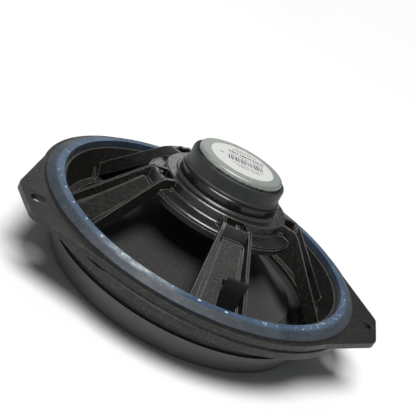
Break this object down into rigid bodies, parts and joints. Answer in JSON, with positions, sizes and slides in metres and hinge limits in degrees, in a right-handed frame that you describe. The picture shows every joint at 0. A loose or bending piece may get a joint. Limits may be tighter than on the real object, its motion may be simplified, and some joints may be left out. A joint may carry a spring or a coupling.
{
  "type": "coaxial loudspeaker",
  "caption": "Round coaxial car door loudspeaker with a spoked plastic basket, two fixing ears, a rear sealing gasket, a front spacer ring and a booted magnet.",
  "frame": {"origin": "on the speaker's axis, in the plane of the front ring's front edge, which the speaker lies on", "axes": "+Z along the speaker's axis to the rear, towards the magnet; +X along the line through the two fixing ears; the connector's spoke is at -Y"},
  "size_m": [0.1932, 0.1768, 0.0736],
  "materials": {
    "basket_plastic": "satin, fine moulded texture",
    "ring_plastic": "satin, smooth",
    "gasket_foam": "matte closed-cell foam",
    "surround_rubber": "matte",
    "spider_cloth": "resin-stiffened weave",
    "black_steel": "gloss black",
    "ferrite": "matte sintered",
    "zinc_steel": "zinc plated",
    "boot_rubber": "matte",
    "label_paper": "printed label stock",
    "connector_plastic": "satin",
    "tinned_brass": "tinned",
    "copper_braid": "braided tinsel",
    "tweeter_plastic": "satin",
    "bright_steel": "plated",
    "nickel": "nickel plated",
    "dome_film": "satin film",
    "capacitor_sleeve": "shrink sleeve",
    "red_wire": "insulation",
    "cone_paper": "pressed paper pulp",
    "former_film": "polyimide film",
    "coil_wire": "enamelled copper"
  },
  "bodies": {
    "frame": {"basket": "basket_plastic", "front_ring": "ring_plastic", "rear_gasket": "gasket_foam", "surround": "surround_rubber", "spider": "spider_cloth", "top_plate": "black_steel", "magnet": "ferrite", "yoke": "zinc_steel", "magnet_boot": "boot_rubber", "rear_label": "label_paper", "connector_housing": "connector_plastic", "terminal_blades": "tinned_brass", "tinsel_leads": "copper_braid", "tweeter_post": "tweeter_plastic", "tweeter_housing": "tweeter_plastic", "tweeter_yoke": "bright_steel", "tweeter_magnet": "nickel", "tweeter_pole_plate": "bright_steel", "tweeter_guard": "tweeter_plastic", "tweeter_surround": "dome_film", "capacitor": "capacitor_sleeve", "tweeter_leads": "red_wire"},
    "cone_assembly": {"cone": "cone_paper", "coil_former": "former_film", "voice_coil": "coil_wire", "lead_eyelets": "tinned_brass"},
    "tweeter_diaphragm": {"tweeter_dome": "dome_film", "tweeter_coil": "coil_wire"}
  },
  "joints": [
    {"name": "cone_travel", "type": "slide", "parent": "frame", "child": "cone_assembly", "axis": [0, 0, 1], "range_m": [-0.004, 0.004], "stiffness_N_per_m": 1600, "deforming": ["surround", "spider", "tinsel_leads"]},
    {"name": "tweeter_travel", "type": "slide", "parent": "frame", "child": "tweeter_diaphragm", "axis": [0, 0, 1], "range_m": [-0.0002, 0.0002], "stiffness_N_per_m": 800, "deforming": ["tweeter_surround"]}
  ]
}
